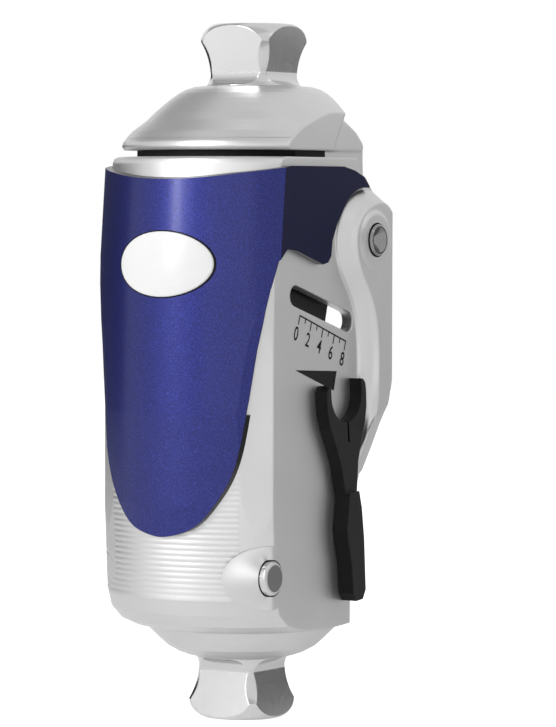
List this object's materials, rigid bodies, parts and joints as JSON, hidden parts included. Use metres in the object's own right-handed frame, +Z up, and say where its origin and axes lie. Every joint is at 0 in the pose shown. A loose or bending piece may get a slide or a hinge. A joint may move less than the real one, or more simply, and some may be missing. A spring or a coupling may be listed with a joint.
{
  "type": "prosthetic knee joint",
  "caption": "Single-axis prosthetic knee joint: aluminium frame with a blue front shield, hydraulic swing unit inside, and a male pyramid at each end.",
  "frame": {"origin": "centre of the lower pyramid's end face", "axes": "+Z up along the lower pyramid's axis, -Y the front of the leg, +X the side with the printed scale"},
  "size_m": [0.0638, 0.0634, 0.1789],
  "materials": {
    "cast_aluminium": "satin, fine machined",
    "polished_steel": "polished",
    "blue_plastic": "metallic blue with fine grain",
    "badge_plate": "bare satin white metal",
    "black_rubber": "matt",
    "black_plastic": "matt moulded",
    "bronze": "plain bearing bronze",
    "unit_aluminium": "turned and anodised",
    "black_anodised": "black anodised",
    "hard_chrome": "ground and hard chromed"
  },
  "bodies": {
    "frame": {"frame_body": "cast_aluminium", "distal_pyramid": "polished_steel", "distal_pyramid_screw": "polished_steel", "front_shield": "blue_plastic", "badge_plate": "badge_plate", "extension_stop_pad": "black_rubber", "knee_pivots": "polished_steel", "lower_pin": "polished_steel"},
    "head": {"head_body": "cast_aluminium", "proximal_pyramid": "polished_steel", "proximal_pyramid_screw": "polished_steel", "knee_bushes": "bronze", "thrust_washers": "bronze"},
    "hydraulic_unit": {"unit_base_eye": "unit_aluminium", "unit_base_bush": "bronze", "unit_cylinder": "unit_aluminium", "valve_block": "unit_aluminium", "unit_cap": "unit_aluminium", "rod_seal": "black_rubber"},
    "rod": {"piston_rod": "hard_chrome", "piston": "unit_aluminium", "piston_seal": "black_rubber", "rod_eye": "unit_aluminium", "rod_eye_bush": "bronze", "clevis_pin": "polished_steel"},
    "extension_setting": {"extension_ring": "black_anodised"},
    "flexion_setting": {"flexion_ring": "black_anodised"},
    "key": {"adjusting_key": "black_plastic"}
  },
  "joints": [
    {"name": "knee_flexion", "type": "hinge", "parent": "frame", "child": "head", "pos_m": [0, 0.0158, 0.1234], "axis": [-1, 0, 0], "range_deg": [0, 135]},
    {"name": "unit_swing", "type": "hinge", "parent": "frame", "child": "hydraulic_unit", "pos_m": [0, -0.0254, 0.039], "axis": [-1, 0, 0], "range_deg": [0, 8.1]},
    {"name": "rod_stroke", "type": "slide", "parent": "hydraulic_unit", "child": "rod", "axis": [0, 0.3173, 0.9483], "range_m": [0, 0.0207]},
    {"name": "extension_adjust", "type": "hinge", "parent": "hydraulic_unit", "child": "extension_setting", "pos_m": [0, -0.00382, 0.10349], "axis": [0, 0.3173, 0.9483], "range_deg": [-24, 24]},
    {"name": "flexion_adjust", "type": "hinge", "parent": "hydraulic_unit", "child": "flexion_setting", "pos_m": [0, -0.00382, 0.10349], "axis": [0, 0.3173, 0.9483], "range_deg": [-24, 24]},
    {"name": "key_lift_off", "type": "slide", "parent": "frame", "child": "key", "axis": [1, 0, 0], "range_m": [0, 0.03]}
  ],
  "couplings": [
    {"joint": "unit_swing", "follows": "knee_flexion", "ratio": 0.059259},
    {"joint": "rod_stroke", "follows": "knee_flexion", "m_per_rad": 0.0087005}
  ]
}
